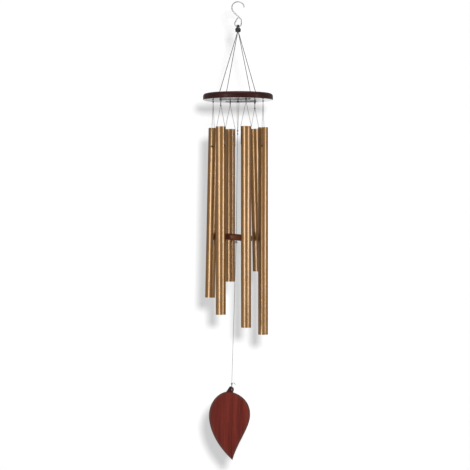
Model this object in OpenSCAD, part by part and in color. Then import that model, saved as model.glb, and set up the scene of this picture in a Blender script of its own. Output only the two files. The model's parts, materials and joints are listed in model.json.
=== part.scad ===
// Hanging wind chime: six metal tubes of falling length on a ring under a stained wooden disc,
// a wooden striker on a line in their middle, and a leaf-shaped wooden sail below it.
// Millimetres. +Z is up, +X is to the right and the front faces -Y.
// The origin is the inside top of the hook, where it hangs on a bar.

/* [Hook] */
// Thickness of the hook's wire
hook_wire = 2.5; // [1.5:0.1:4]
// Inside diameter of the open upper bend
hook_inner = 22; // [16:1:40]
// Angle at which the bend runs into the shank, from the right
hook_wrap = 226; // [215:1:240]
// Angle of the open tip, from the right
hook_tip = 5; // [-20:1:40]
// Bend radius of the closed eye, at the middle of the wire
eye_bend = 4.75; // [4:0.25:10]
// Length of the eye's straight bottom, where the cord sits
eye_floor = 4; // [3:0.5:10]
// Length of the eye's straight right side
eye_side = 6.5; // [4:0.5:12]
// Lean of the eye's left side, which closes on the shank
eye_lean = 30; // [24:1:36]

/* [Crown] */
// Thickness of the cord in the hook's eye
loop_cord = 1.8; // [1:0.1:3]
// Width of the gathering knot
crown_knot_d = 12; // [9:0.5:20]
// Height of the gathering knot
crown_knot_h = 8; // [5:0.5:11]
// Thickness of the suspension cords
crown_cord = 1.4; // [0.8:0.1:2]
// Height of the disc's top face below the gathering knot
crown_drop = 123; // [80:1:250]
// Diameter of the circle on which the suspension cords meet the disc
crown_ring_d = 88; // [60:1:92]
// Turn of the suspension holes about the middle
crown_turn = 33.5; // [28:0.5:38]

/* [Top disc] */
// Diameter of the disc
disc_d = 140; // [130:1:200]
// Thickness of the disc
disc_t = 13; // [9:0.5:25]
// Rounding of its upper edge
disc_round = 5.5; // [2:0.5:6]
// Rounding of its lower edge
disc_round_low = 2; // [0.5:0.5:3]
// Diameter of the cord holes
cord_hole = 2.6; // [2.4:0.1:4]
// Depth of the wells in the top face that hide the stop knots
knot_well = 5.5; // [4:0.25:6]

/* [Tubes] */
// Outside diameter of the tubes
tube_od = 20; // [12:0.5:24]
// Wall of the tubes
tube_wall = 1.2; // [0.8:0.1:3]
// Diameter of the circle on which the tubes hang
ring_d = 102; // [98:1:112]
// Turn of the first tube about the middle
ring_turn = -12; // [-16:0.5:-8]
// Distance from the disc's underside to the tube tops
tube_drop = 55; // [40:1:100]
// Distance from a tube's top to its cross hole
hole_down = 37; // [20:1:60]
// Diameter of the cross holes
cross_hole = 4.2; // [2.4:0.1:5]
// Length of the longest tube
tube_1_length = 413; // [330:1:500]
// Length of the second tube
tube_2_length = 397; // [320:1:500]
// Length of the third tube
tube_3_length = 372; // [310:1:500]
// Length of the fourth tube
tube_4_length = 340; // [300:1:500]
// Length of the fifth tube
tube_5_length = 309; // [290:1:500]
// Length of the shortest tube
tube_6_length = 288; // [280:1:500]
// Outward lean of the fourth tube on its cord
tube_4_lean = 1.2; // [0:0.1:2]
// Outward lean of the shortest tube on its cord
tube_6_lean = 2; // [0:0.1:3]

/* [Hangers] */
// Thickness of the tubes' cords
hanger_d = 0.8; // [0.5:0.1:1.2]
// Diameter of the knots that carry the tubes
hanger_knot = 4.4; // [4:0.2:7]
// Diameter of the stop knots on top of the disc
stop_knot = 5; // [4.5:0.5:8]
// Distance the two strands of a hanger run side by side below its knot
split_short = 3; // [2:0.5:12]
// The same distance on the third and sixth tubes
split_long = 9; // [2:0.5:20]

/* [Striker] */
// Diameter of the striker
striker_d = 64; // [40:1:68]
// Thickness of the striker
striker_t = 13; // [9:0.5:20]
// Rounding of the striker's edges
striker_round = 4; // [1:0.5:4]
// Diameter of the striker's bore
striker_bore = 4; // [3:0.25:4.75]
// Distance from the disc's underside to the middle of the striker
striker_drop = 274; // [180:1:300]
// Sideways place of the striker as it hangs
striker_drift = -3.5; // [-4:0.5:4]
// Tilt of the striker as it sits on its knot
striker_tilt = 5; // [0:0.5:8]
// Diameter of the knot that carries the striker
striker_knot_d = 6; // [5:0.5:10]
// Diameter of the knot at the top of the centre cord
centre_knot_d = 5; // [4.4:0.2:8]
// Thickness of the doubled centre cord
centre_cord_d = 0.8; // [0.5:0.1:1.5]
// Distance from the disc's underside to the first joining knot
join_drop = 61; // [40:1:120]
// Diameter of the joining knots
join_knot = 4; // [3:0.2:6]
// Distance between the joining knots
join_step = 6.5; // [4.5:0.5:12]

/* [Sail] */
// Thickness of the striker and sail lines
line_d = 1; // [0.6:0.1:1.5]
// Distance from the middle of the striker to the sail's hole
sail_drop = 305; // [200:1:400]
// Sideways place of the sail as it hangs
sail_drift = -12.5; // [-14:0.5:14]
// Width of the leaf
leaf_w = 82.5; // [60:0.5:120]
// Length of the leaf from its hole to its tip
leaf_l = 140.5; // [110:0.5:200]
// Thickness of the leaf
leaf_t = 8; // [6:0.5:12]
// Rounding of the leaf's edges
leaf_round = 2.4; // [1:0.2:2.6]
// How far the middle of the leaf lies to the left of its hole
leaf_shift = 3.5; // [0:0.25:5]
// Height of the stem above its hole
stem_rise = 7.4; // [6:0.1:12]
// Reach of the stem to the right of its hole
stem_side = 4.6; // [3.8:0.1:7]
// Diameter of the hole in the leaf's stem
stem_hole = 2.4; // [2:0.1:3]
// Diameter of the knot above the leaf
sail_knot = 4; // [3:0.2:6]

/* [Hidden] */
$fn = 48;
knot_fn = 24;
cord_sides = 8;
// Play between a cord and what it lies on
play = 0.3;
// Play between a knot and the cord that ends at it
knot_play = 0.15;
// Least gap between the end of the eye's wire and the shank
eye_gap = 0.6;
// How much wider than the wire its seams are
seam_lip = 0.03;
// Most that the striker tilts on its line, which its knot has to clear
tilt_limit = 10;
// Half the spacing of two strands laid side by side, in cord thicknesses
strand_step = 0.6;
// Spacing of the suspension cords from the middle as they leave their knot, in cord thicknesses
gather_step = 1.1;
// Size of the second joining knot against the first
second_knot = 0.9;
// Straight length of the hook loop's legs
loop_leg_past = 1;
// Height above the disc at which its cords turn into their holes
hole_lead = 1;
// How far a cut runs past the face that it opens
cut = 1;
// Steps along each curve of the leaf, and over its rounded edge
leaf_steps = 12;
edge_steps = 4;

// The hook, in its own plane: the upper bend, the shank and the eye
bend_r = hook_inner / 2 + hook_wire / 2;
bend_z = -hook_inner / 2;
eye_turn = hook_wrap - 180;
shank_from = [bend_r * cos(hook_wrap), bend_z + bend_r * sin(hook_wrap)];
shank_dir = [-sin(hook_wrap), cos(hook_wrap)];
shank_l = (eye_floor / 2 + eye_bend * cos(eye_turn) - shank_from.x) / shank_dir.x;
eye_z = shank_from.y + shank_l * shank_dir.y - eye_bend * sin(eye_turn);
eye_floor_z = eye_z - eye_side - eye_bend;

// The eye's left side: where it leaves its bend, and how far it runs before it meets the shank
left_dir = [sin(eye_lean), cos(eye_lean)];
left_from = [-eye_floor / 2 - eye_bend * cos(eye_lean), eye_z - eye_side + eye_bend * sin(eye_lean)];
shank_side = [shank_dir.y, -shank_dir.x];
left_closing = -left_dir * shank_side;
left_end = hook_wire / 2 * (1 + sqrt(max(0, 1 - left_closing * left_closing))) + eye_gap;
left_l = ((left_from - shank_from) * shank_side - left_end) / left_closing;

// Heights, from the hang point down
loop_r = hook_wire / 2 + play + loop_cord / 2;
loop_leg = loop_r + loop_leg_past;
crown_knot_z = eye_floor_z - loop_leg - 2 * play - crown_knot_h / 2;
cord_end_rise = crown_cord / 4;
crown_cord_z = crown_knot_z - crown_knot_h / 2 - play - cord_end_rise;
disc_top = crown_knot_z - crown_knot_h / 2 - crown_drop;
disc_low = disc_top - disc_t;
swivel_z = disc_low - knot_play - hanger_knot / 2;
tube_top = disc_low - tube_drop;
hole_z = tube_top - hole_down;
centre_knot_z = disc_low - knot_play - centre_knot_d / 2;
striker_z = disc_low - striker_drop;
sail_z = striker_z - sail_drop;

// The ring of tubes: lengths, leans and the split of each hanger
tube_lengths = [
    tube_1_length, tube_2_length, tube_3_length,
    tube_4_length, tube_5_length, tube_6_length
];
tube_leans = [0, 0, 0, tube_4_lean, 0, tube_6_lean];
hanger_splits = [split_short, split_short, split_long, split_short, split_short, split_long];
tube_count = len(tube_lengths);
function tube_angle(k) = ring_turn - 360 / tube_count * (k - 1);

// The lines in the middle, from the disc to the striker's knot and on to the sail
striker_at = [striker_drift, 0, striker_z];
centre_at = [0, 0, centre_knot_z];
striker_way = unit(striker_at - centre_at);
join_at = centre_at + striker_way * (join_drop - (disc_low - centre_knot_z));
knot_below = (striker_t / 2 + striker_knot_d / 2 + knot_play) / cos(tilt_limit);
striker_knot_at = striker_at + striker_way * knot_below;
sail_at = [sail_drift, 0, sail_z];
sail_loop_r = leaf_t / 2 + play + line_d / 2;
// The stem's points about its hole, and how far it reaches from the hole as the leaf tips
stem = [
    [stem_side, -0.14 * stem_rise],
    [0.81 * stem_side, 0.6 * stem_rise],
    [-leaf_shift, stem_rise]
];
stem_top = max([for (p = stem) norm(p)]);
sail_knot_at = sail_at + [0, 0, stem_top + 2 * play + line_d + sail_knot / 2];
sail_way = unit(sail_knot_at - striker_knot_at);

// Vectors and swept cords
function unit(v) = v / norm(v);
function turned(v, a) = [v.x * cos(a) - v.y * sin(a), v.x * sin(a) + v.y * cos(a), v.z];
function bezier(p, t) =
    p[0] * pow(1 - t, 3) + p[1] * 3 * t * pow(1 - t, 2) + p[2] * 3 * t * t * (1 - t) + p[3] * pow(t, 3);

// The points of a path with each corner replaced by a short curve that starts r before it
function rounded(p, r, steps = 4) = concat(
    [p[0]],
    [for (i = [1 : len(p) - 2])
        let (back = unit(p[i - 1] - p[i]), on = unit(p[i + 1] - p[i]))
        for (s = [0 : steps])
            let (t = s / steps)
            p[i] + back * r * pow(1 - t, 2) + on * r * t * t],
    [p[len(p) - 1]]
);

function heading(p, i) =
    i == 0 ? unit(p[1] - p[0])
    : i == len(p) - 1 ? unit(p[i] - p[i - 1])
    : unit(unit(p[i + 1] - p[i]) + unit(p[i] - p[i - 1]));

// One vector square to the path at each point, carried along without twist
function square_to(v, t) = unit(v - (v * t) * t);
function carried(p, i, v) =
    let (n = square_to(v, heading(p, i)))
    i == len(p) - 1 ? [n] : concat([n], carried(p, i + 1, n));

// A closed round tube of diameter d along the points of p. A path that starts off steep
// takes X as its first side, and any other takes Z.
module swept(p, d) {
    first = heading(p, 0);
    start = abs(first.z) > 0.9 ? [1, 0, 0] : [0, 0, 1];
    side = carried(p, 0, start);
    n = cord_sides;
    rings = [
        for (i = [0 : len(p) - 1])
            let (up = cross(heading(p, i), side[i]))
            for (a = [0 : n - 1])
                p[i] + (side[i] * cos(360 * a / n) + up * sin(360 * a / n)) * d / 2
    ];
    walls = [
        for (i = [0 : len(p) - 2])
            for (a = [0 : n - 1])
                let (b = (a + 1) % n)
                [i * n + a, (i + 1) * n + a, (i + 1) * n + b, i * n + b]
    ];
    ends = [[for (a = [0 : n - 1]) a], [for (a = [n - 1 : -1 : 0]) (len(p) - 1) * n + a]];
    polyhedron(rings, concat(walls, ends));
}

// A straight round piece of diameter d from p to q
module rod(p, q, d) {
    v = q - p;
    translate(p)
        rotate([0, acos(v.z / norm(v)), atan2(v.y, v.x)])
            cylinder(h = norm(v), d = d);
}

module knot(at, d) {
    translate(at) sphere(d = d, $fn = knot_fn);
}

// Moves to the place of tube k on the ring, with +X outwards and +Y along the ring
module on_ring(k) {
    rotate([0, 0, tube_angle(k)]) translate([ring_d / 2, 0, 0]) children();
}

// Part of a wire bend in the hook's plane, about c, between two angles
module wire_bend(c, r, from, to) {
    translate([c.x, 0, c.y])
        rotate([90, 0, 0])
            rotate([0, 0, from])
                rotate_extrude(angle = to - from) translate([r, 0]) circle(d = hook_wire);
}

module wire_run(p, q) {
    rod([p.x, 0, p.y], [q.x, 0, q.y], hook_wire);
}

// Fills the seam where a straight run meets a bend, a hair wider than the wire
module wire_seam(p) {
    translate([p.x, 0, p.y]) sphere(d = hook_wire + seam_lip);
}

module s_hook() {
    right = eye_floor / 2;
    low = eye_z - eye_side;
    shank_to = shank_from + shank_l * shank_dir;
    color("gainsboro") {
        wire_bend([0, bend_z], bend_r, hook_tip, hook_wrap);
        wire_run(shank_from, shank_to);
        wire_bend([right, eye_z], eye_bend, 0, eye_turn);
        wire_run([right + eye_bend, eye_z], [right + eye_bend, low]);
        wire_bend([right, low], eye_bend, -90, 0);
        wire_run([-right, eye_floor_z], [right, eye_floor_z]);
        wire_bend([-right, low], eye_bend, 180 - eye_lean, 270);
        wire_run(left_from, left_from + left_l * left_dir);
        for (p = [shank_from, shank_to, left_from])
            wire_seam(p);
        for (x = [-right, right])
            wire_seam([x, eye_floor_z]);
        for (z = [low, eye_z])
            wire_seam([right + eye_bend, z]);
    }
}

// The bight that hangs on the eye's straight bottom
module hook_loop() {
    color("#1c1c1e")
        translate([0, 0, eye_floor_z]) {
            rotate([90, 0, 90])
                rotate_extrude(angle = 180) translate([loop_r, 0]) circle(d = loop_cord);
            for (side = [-1, 1])
                translate([0, side * loop_r, -loop_leg]) cylinder(h = loop_leg, d = loop_cord);
        }
}

module crown_knot() {
    r = crown_knot_h / 2;
    color("#161618")
        translate([0, 0, crown_knot_z])
            rotate_extrude() {
                intersection() {
                    translate([crown_knot_d / 2 - r, 0]) circle(r = r);
                    translate([0, -r]) square([crown_knot_d, crown_knot_h]);
                }
                translate([0, -r]) square([crown_knot_d / 2 - r, crown_knot_h]);
            }
}

// One cord from the knot down through the disc, along its underside and up again.
// It meets the disc at two holes, a quarter turn apart.
module suspension_cord(first) {
    gather = crown_cord * gather_step;
    run_z = disc_low - play - crown_cord / 2;
    a = turned([1, 0, 0], first);
    b = turned([1, 0, 0], first + 90);
    hole_a = a * crown_ring_d / 2;
    hole_b = b * crown_ring_d / 2;
    up = [0, 0, 1];
    path = [
        a * gather + up * crown_cord_z,
        hole_a + up * (disc_top + hole_lead),
        hole_a + up * run_z,
        hole_b + up * run_z,
        hole_b + up * (disc_top + hole_lead),
        b * gather + up * crown_cord_z
    ];
    color("#2b2b2e") swept(rounded(path, crown_cord), crown_cord);
}

module suspension_cord_front() {
    suspension_cord(180 + crown_turn);
}

module suspension_cord_back() {
    suspension_cord(crown_turn);
}

// A turned disc with its own rounding above and below, from z = 0 up
module turned_disc(d, t, above, below) {
    rotate_extrude($fn = 96) {
        square([d / 2 - above, t]);
        square([d / 2 - below, t - above]);
        translate([0, below]) square([d / 2, t - above - below]);
        translate([d / 2 - above, t - above]) circle(r = above);
        translate([d / 2 - below, below]) circle(r = below);
    }
}

module cord_bore() {
    translate([0, 0, -cut]) cylinder(h = disc_t + 2 * cut, d = cord_hole);
}

module knot_bore() {
    cord_bore();
    translate([0, 0, disc_t - knot_well]) cylinder(h = knot_well + cut, d = stop_knot + 2 * play);
}

module top_disc() {
    color("#3a211d")
        translate([0, 0, disc_low])
            difference() {
                turned_disc(disc_d, disc_t, disc_round, disc_round_low);
                for (i = [0 : 3])
                    rotate([0, 0, crown_turn + 90 * i])
                        translate([crown_ring_d / 2, 0, 0]) cord_bore();
                for (k = [1 : tube_count])
                    on_ring(k) knot_bore();
                knot_bore();
            }
}

// A knot in its well in the disc's top face, with its cord down through the hole
module stop_knot_and_cord() {
    middle = disc_t - knot_well + knot_play + stop_knot / 2;
    translate([0, 0, disc_low]) {
        cylinder(h = middle, d = crown_cord);
        knot([0, 0, middle], stop_knot);
    }
}

module tube_stop_knots() {
    color("#2b2b2e")
        for (k = [1 : tube_count])
            on_ring(k) stop_knot_and_cord();
}

module centre_stop_knot() {
    color("#2b2b2e") stop_knot_and_cord();
}

module swivel_knot(k) {
    color("#1c1c1e") on_ring(k) knot([0, 0, swivel_z], hanger_knot);
}

// Two strands from the knot that part, run down outside the tube and cross it through its holes
module hanger_cord(k) {
    beside = hanger_d * strand_step;
    out = tube_od / 2 + play + hanger_d / 2;
    top = swivel_z - hanger_knot / 2 - knot_play;
    split = top - hanger_splits[k - 1];
    seat = hole_z + cross_hole / 2 - hanger_d / 2 - knot_play;
    half = [
        [0, beside, top],
        [0, beside, split],
        [0, out, tube_top + hanger_d],
        [0, out, seat]
    ];
    other = [for (i = [3 : -1 : 0]) [0, -half[i].y, half[i].z]];
    color("#6f6f73") on_ring(k) swept(rounded(concat(half, other), hanger_d), hanger_d);
}

module tube(k) {
    length = tube_lengths[k - 1];
    color("#9c7136")
        on_ring(k)
            translate([0, 0, hole_z])
                rotate([0, -tube_leans[k - 1], 0])
                    difference() {
                        translate([0, 0, hole_down - length]) cylinder(h = length, d = tube_od);
                        translate([0, 0, hole_down - length - cut])
                            cylinder(h = length + 2 * cut, d = tube_od - 2 * tube_wall);
                        rotate([90, 0, 0])
                            cylinder(h = tube_od + 2 * cut, d = cross_hole, center = true);
                    }
}

module centre_knot() {
    color("#1c1c1e") knot(centre_at, centre_knot_d);
}

// Two strands that close on the joining knots
module centre_cord() {
    wide = centre_knot_d / 2;
    beside = centre_cord_d * strand_step;
    top = centre_at - [0, 0, centre_knot_d / 2 + knot_play];
    second_at = join_at + striker_way * join_step;
    color("#1c1c1e") {
        for (side = [-1, 1])
            rod(top + [side * wide, 0, 0], join_at + [side * beside, 0, 0], centre_cord_d);
        knot(join_at, join_knot);
        knot(second_at, join_knot * second_knot);
        rod(join_at, second_at, centre_cord_d * 2);
    }
}

module striker_line() {
    from = join_at + striker_way * (join_step + join_knot * second_knot / 2 + knot_play);
    to = striker_knot_at - striker_way * (striker_knot_d / 2 + knot_play);
    color("#b9b9b4") rod(from, to, line_d);
}

module striker() {
    color("#3f2018")
        translate(striker_at)
            rotate([0, striker_tilt, 0])
                difference() {
                    translate([0, 0, -striker_t / 2])
                        turned_disc(striker_d, striker_t, striker_round, striker_round);
                    cylinder(h = striker_t + 2 * cut, d = striker_bore, center = true);
                }
}

module striker_knot() {
    color("#b9b9b4") knot(striker_knot_at, striker_knot_d);
}

module sail_line() {
    from = striker_knot_at + sail_way * (striker_knot_d / 2 + knot_play);
    to = sail_knot_at - sail_way * (sail_knot / 2 + knot_play);
    color("#b9b9b4") rod(from, to, line_d);
}

// The line's end, through the stem and back to a knot above it
module sail_loop() {
    top = sail_knot_at.z - sail_at.z;
    beside = line_d * strand_step;
    shoulder = stem_top + play;
    seat = stem_hole / 2 - line_d / 2 - knot_play;
    path = [
        [0, beside, top],
        [0, sail_loop_r, shoulder],
        [0, sail_loop_r, seat],
        [0, -sail_loop_r, seat],
        [0, -sail_loop_r, shoulder],
        [0, -beside, top]
    ];
    color("#6f6f73") {
        translate(sail_at) swept(rounded(path, line_d), line_d);
        knot(sail_knot_at, sail_knot);
    }
}

// The leaf's outline about its middle and its hole, in halves of its width and lengths to its tip.
// It goes round from the left foot of the stem, down to the tip and up the right side.
leaf_left = [[-0.19, -0.03], [-0.62, -0.05], [-1.02, -0.19], [-1.02, -0.37]];
leaf_left_low = [[-1.02, -0.37], [-1.02, -0.57], [-0.6, -0.81], [0.12, -1]];
leaf_right_low = [[0.12, -1], [0.34, -0.753], [0.975, -0.541], [0.975, -0.356]];
leaf_right = [[0.975, -0.356], [0.985, -0.18], [0.6, -0.082], [0.14, -0.036]];

leaf_curves = [leaf_left, leaf_left_low, leaf_right_low, leaf_right];
function on_leaf(p) = [p.x * leaf_w / 2 - leaf_shift, p.y * leaf_l];
leaf_outline = concat(
    [for (c = leaf_curves)
        for (s = [0 : leaf_steps - 1])
            let (p = bezier(c, s / leaf_steps))
            on_leaf(p)],
    [on_leaf(leaf_right[3])],
    stem
);

// The leaf's flat side in bands from its left edge to its right one, with the stem above them
leaf_foot = len(leaf_curves) * leaf_steps;
leaf_tip = leaf_foot / 2;
leaf_bands = concat(
    [[0, for (a = [leaf_foot : len(leaf_outline) - 1]) a]],
    [for (a = [0 : leaf_tip - 2]) [a, a + 1, leaf_foot - a - 1, leaf_foot - a]],
    [[leaf_tip - 1, leaf_tip, leaf_tip + 1]]
);

// A closed outline moved inwards by d, with mitred corners
function inset(p, d) = [
    for (i = [0 : len(p) - 1])
        let (
            n = len(p),
            u = unit(p[i] - p[(i + n - 1) % n]),
            v = unit(p[(i + 1) % n] - p[i]),
            across = [-u.y, u.x],
            middle = unit(across + [-v.y, v.x])
        )
        p[i] + middle * d / (middle * across)
];

// A plate of thickness t with that outline and rounded edges, standing in the XZ plane.
// The bands are the corners' numbers round each part of its flat side.
module rounded_plate(outline, bands, t, r) {
    n = len(outline);
    turns = [for (s = [0 : edge_steps]) 90 * s / edge_steps];
    levels = concat(
        [for (a = turns) [r * (1 - sin(a)), -t / 2 + r * (1 - cos(a))]],
        [for (a = turns) [r * (1 - cos(a)), t / 2 - r * (1 - sin(a))]]
    );
    rings = [for (l = levels) for (p = inset(outline, l[0])) [p.x, l[1], p.y]];
    walls = [
        for (i = [0 : len(levels) - 2])
            for (a = [0 : n - 1])
                let (b = (a + 1) % n)
                [i * n + a, i * n + b, (i + 1) * n + b, (i + 1) * n + a]
    ];
    front = [for (b = bands) [for (i = [len(b) - 1 : -1 : 0]) b[i]]];
    back = [for (b = bands) [for (a = b) (len(levels) - 1) * n + a]];
    polyhedron(rings, concat(walls, front, back));
}

module sail() {
    color("#6a2a22")
        translate(sail_at)
            difference() {
                rounded_plate(leaf_outline, leaf_bands, leaf_t, leaf_round);
                rotate([90, 0, 0]) cylinder(h = leaf_t + 2 * cut, d = stem_hole, center = true);
            }
}

s_hook();
hook_loop();
crown_knot();
suspension_cord_front();
suspension_cord_back();
top_disc();
tube_stop_knots();
centre_stop_knot();
swivel_knot(1);  // swivel_knot_1
swivel_knot(2);  // swivel_knot_2
swivel_knot(3);  // swivel_knot_3
swivel_knot(4);  // swivel_knot_4
swivel_knot(5);  // swivel_knot_5
swivel_knot(6);  // swivel_knot_6
hanger_cord(1);  // hanger_cord_1
hanger_cord(2);  // hanger_cord_2
hanger_cord(3);  // hanger_cord_3
hanger_cord(4);  // hanger_cord_4
hanger_cord(5);  // hanger_cord_5
hanger_cord(6);  // hanger_cord_6
tube(1);  // tube_1
tube(2);  // tube_2
tube(3);  // tube_3
tube(4);  // tube_4
tube(5);  // tube_5
tube(6);  // tube_6
centre_knot();
centre_cord();
striker_line();
striker();
striker_knot();
sail_line();
sail_loop();
sail();
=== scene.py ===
import json
import math

import bmesh
import bpy
from mathutils import Matrix, Vector


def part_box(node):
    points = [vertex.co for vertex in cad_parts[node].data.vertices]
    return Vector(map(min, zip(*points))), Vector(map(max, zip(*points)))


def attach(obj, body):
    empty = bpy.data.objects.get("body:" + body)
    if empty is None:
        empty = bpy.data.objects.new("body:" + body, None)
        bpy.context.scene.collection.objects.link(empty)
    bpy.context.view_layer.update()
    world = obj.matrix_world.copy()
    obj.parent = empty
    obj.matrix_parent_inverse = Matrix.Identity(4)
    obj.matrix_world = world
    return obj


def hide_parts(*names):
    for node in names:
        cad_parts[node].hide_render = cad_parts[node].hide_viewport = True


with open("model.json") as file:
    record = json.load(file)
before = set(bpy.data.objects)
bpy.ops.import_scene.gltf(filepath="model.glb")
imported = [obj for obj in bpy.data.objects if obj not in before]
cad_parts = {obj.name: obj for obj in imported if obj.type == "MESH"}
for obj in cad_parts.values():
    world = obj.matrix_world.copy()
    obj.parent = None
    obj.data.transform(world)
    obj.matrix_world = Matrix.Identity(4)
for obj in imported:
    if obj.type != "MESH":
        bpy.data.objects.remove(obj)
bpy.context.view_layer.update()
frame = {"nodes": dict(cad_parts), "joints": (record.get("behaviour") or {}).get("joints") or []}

# Looks of the hanging wind chime. Metres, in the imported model's frame: +Z is up, the front faces -Y.
scene = bpy.context.scene
scene.view_settings.view_transform = "Standard"
MM = 0.001
FULL_TURN = 2 * math.pi
UP = Vector((0, 0, 1))

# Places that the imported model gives
joint_at = {j["name"]: Vector(j["pos_m"]) for j in frame["joints"]}
disc_low, disc_top = (corner.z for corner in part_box("top_disc"))
striker_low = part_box("striker")[0].z
tube_numbers = range(1, 7)
eye_floor_at = joint_at["loop_swing"]
crown_knot_at = joint_at["crown_sway"]
centre_knot_at = joint_at["striker_swing"]
striker_at = joint_at["striker_tilt"]
striker_knot_at = joint_at["sail_line_swing"]
sail_knot_at = joint_at["sail_turn"]
sail_at = joint_at["sail_tip"]
striker_way = (striker_at - centre_knot_at).normalized()

# Play between a cord and what it lies on, and between a knot and its cord
PLAY = 0.3 * MM
KNOT_PLAY = 0.15 * MM

# Laid cord: its strands, the length of a turn in cord thicknesses, and how finely it is drawn
CORD_STRANDS = 3
LINE_STRANDS = 2
CORD_LAY = 3.0
CORD_SIDES = 6
POINTS_PER_LAY = 10
STRAND_SWELL = 1.06
CORNER_STEPS = 6

# Overhand knots: points along one, how far its lobes reach past its ring, and how many it has
KNOT_POINTS = 72
KNOT_SWELL = 0.62
KNOT_LOBES = 3

# Cords of the crown
HOOK_WIRE = 2.5 * MM
LOOP_CORD = 1.8 * MM
LOOP_LEG = 1 * MM
BIGHTS_AT = (-1.9 * MM, 0, 1.9 * MM)
BIGHT_STEPS = 16
BIGHT_IN_KNOT = 0.45
CROWN_KNOT_H = 8 * MM
CROWN_CORD = 1.4 * MM
CROWN_RING = 44 * MM
CROWN_TURN = math.radians(33.5)
GATHER_STEP = 1.1
HOLE_LEAD = 1 * MM

# The gathering knot: a round knot of four bights and three leads, tied in a bundle of strands
GATHER_W = 12.8 * MM
GATHER_H = 10 * MM
GATHER_UP = 0.8 * MM
GATHER_BELLY = 0.5
GATHER_STRANDS = 4
GATHER_LAY = 6.0
CROWN_BUNDLE = 3.3 * MM
CROWN_WEAVE = 0.5 * MM
CROWN_LEADS = 3
CROWN_BIGHTS = 4

# Cords of the tubes. A tie is the thickness of the cord that a knot is tied in
TUBE_OD = 20 * MM
TUBE_DROP = 55 * MM
CROSS_HOLE = 4.2 * MM
HANGER_CORD = 0.8 * MM
HANGER_IN_KNOT = 1.2 * MM
HANGER_KNOT = 4.4 * MM
HANGER_TIE = 1.3 * MM
STOP_KNOT = 5 * MM
KNOT_WELL = 5.5 * MM
SPLIT_SHORT = 3 * MM
SPLIT_LONG = 9 * MM
SPLIT_KNOT = 3.4 * MM
SPLIT_TIE = 1.1 * MM
LONG_SPLITS = (3, 6)
STRAND_STEP = 0.6

# Cords in the middle
CENTRE_KNOT = 5 * MM
CENTRE_TIE = 1.4 * MM
CENTRE_CORD = 0.8 * MM
CENTRE_IN_KNOT = 0.8 * MM
CENTRE_SPREAD = 0.8
JOIN_DROP = 61 * MM
JOIN_KNOT = 4 * MM
JOIN_TIE = 1.15 * MM
JOIN_STEP = 6.5 * MM
SECOND_JOIN = 0.9 * JOIN_KNOT
LINE = 1 * MM
STRIKER_KNOT = 6 * MM
STRIKER_TIE = 1.7 * MM
SAIL_KNOT = 4 * MM
SAIL_TIE = 1.2 * MM
SAIL_TAIL = ((0, -1.4, 0.4), (2.6, -1.8, 2.2), (5.6, -1.6, 1.4), (7.2, -1.4, -1.6))
TAIL_BEND = 2 * MM
join_at = centre_knot_at + striker_way * (JOIN_DROP - (disc_low - centre_knot_at.z))
second_join_at = join_at + striker_way * JOIN_STEP

# The leaf: its outline about its middle and its hole, in halves of its width and lengths to its tip
LEAF_W = 82.5 * MM
LEAF_L = 140.5 * MM
LEAF_T = 8 * MM
LEAF_SHIFT = 3.5 * MM
LEAF_STEPS = 28
LEAF_CURVES = (
    ((-0.19, -0.03), (-0.62, -0.05), (-1.02, -0.19), (-1.02, -0.37)),
    ((-1.02, -0.37), (-1.02, -0.57), (-0.6, -0.81), (0.12, -1)),
    ((0.12, -1), (0.34, -0.753), (0.975, -0.541), (0.975, -0.356)),
    ((0.975, -0.356), (0.985, -0.18), (0.6, -0.082), (0.14, -0.036)),
)
TIP_INDEX = 2 * LEAF_STEPS
STEM_INDEX = 4 * LEAF_STEPS

# The leaf's stem, with the hole that it hangs by
STEM_HOLE = 2.4 * MM
STEM_RISE = 7.4 * MM
STEM_SIDE = 4.6 * MM
STEM_ROUND = 2.2 * MM
STEM = (
    (STEM_SIDE, -0.14 * STEM_RISE),
    (0.81 * STEM_SIDE, 0.6 * STEM_RISE),
    (-LEAF_SHIFT, STEM_RISE),
)
DRILL_SIDES = 40

# The leaf's rounded edge: narrower near the tip and the stem, with a darker brown that fades on to its
# faces
LEAF_ROUND = 2.4 * MM
EDGE_STEPS = 8
EDGE_FADE = 3.6 * MM
RIM_START = 0.6
TIP_SHARE = 0.3
TIP_REACH = 14 * MM
STEM_SHARE = 0.4
STEM_REACH = 12 * MM

# Camera: level, square to the front, framed as the photograph is
CAMERA_AT = (-0.006, -3.4, -0.4654)
SENSOR_MM = 36.0
LENS_MM = 130.2
LEVEL = (math.pi / 2, 0, 0)


def make_camera():
    data = bpy.data.cameras.new("camera")
    data.sensor_width = SENSOR_MM
    data.lens = LENS_MM
    camera = bpy.data.objects.new("camera", data)
    camera.location = CAMERA_AT
    camera.rotation_euler = LEVEL
    scene.collection.objects.link(camera)
    scene.camera = camera


make_camera()


# Node trees
def add(tree, kind, sets=None, **properties):
    """Adds a node, sets its properties, and links or sets each named input."""
    made = tree.nodes.new(kind)
    for name, value in properties.items():
        setattr(made, name, value)
    for key, value in (sets or {}).items():
        if isinstance(value, bpy.types.NodeSocket):
            tree.links.new(value, made.inputs[key])
        else:
            made.inputs[key].default_value = value
    return made


def maths(tree, operation, first, second=0.0):
    return add(tree, "ShaderNodeMath", {0: first, 1: second}, operation=operation).outputs[0]


def vector_maths(tree, operation, first, second):
    return add(tree, "ShaderNodeVectorMath", {0: first, 1: second}, operation=operation).outputs[0]


def scaled(tree, vector, factor):
    sets = {0: vector, "Scale": factor}
    return add(tree, "ShaderNodeVectorMath", sets, operation="SCALE").outputs[0]


def stretched(tree, vector, across, along):
    """Coordinates scaled alike in X and Y and by another amount in Z."""
    return vector_maths(tree, "MULTIPLY", vector, (across, across, along))


def split(tree, vector):
    return add(tree, "ShaderNodeSeparateXYZ", {0: vector}).outputs


def attribute(tree, name):
    return add(tree, "ShaderNodeAttribute", attribute_name=name).outputs["Fac"]


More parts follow.
